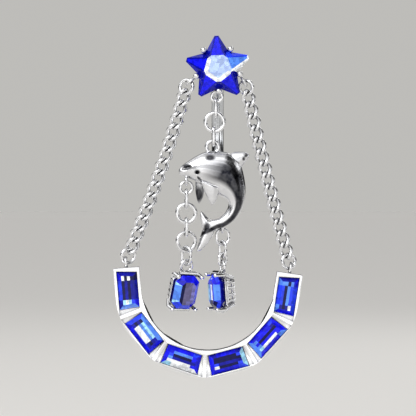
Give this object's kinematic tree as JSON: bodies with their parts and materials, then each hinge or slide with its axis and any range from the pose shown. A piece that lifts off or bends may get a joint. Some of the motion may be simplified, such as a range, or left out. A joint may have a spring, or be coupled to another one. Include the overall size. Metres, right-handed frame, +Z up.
{
  "type": "navel ring",
  "caption": "Navel ring with a star-set stone on a curved bar, curb chains to a U-shaped bow of baguettes, and a dolphin charm with small drops.",
  "frame": {"origin": "point on the curved bar's centre line where the bar runs straight up, inside the piercing", "axes": "+Z up, the front faces -Y, +X to the right as seen from the front"},
  "size_m": [0.025, 0.0099, 0.0453],
  "materials": {
    "silver": "polished silver",
    "antique_silver": "cast, antiqued and polished silver",
    "blue_stone": "faceted and polished royal blue",
    "bar_steel": "polished surgical steel"
  },
  "bodies": {
    "root": {"barbell": "bar_steel", "star_setting": "silver", "star_stone": "blue_stone", "left_chain": "silver", "right_chain": "silver", "bow": "silver", "star_link": "silver", "centre_ring": "silver", "dolphin_link": "silver", "dolphin": "antique_silver", "snout_ring": "silver", "snout_link": "silver", "upper_drop_ring": "silver", "drop_link": "silver", "lower_drop_ring": "silver", "bail_link": "silver", "front_drop_setting": "silver", "front_drop_stone": "blue_stone", "tail_link_upper": "silver", "tail_link_middle": "silver", "tail_link_lower": "silver", "side_drop_setting": "silver", "side_drop_stone": "blue_stone", "baguette_1": "blue_stone", "baguette_2": "blue_stone", "baguette_3": "blue_stone", "baguette_4": "blue_stone", "baguette_5": "blue_stone", "baguette_6": "blue_stone"}
  },
  "joints": []
}
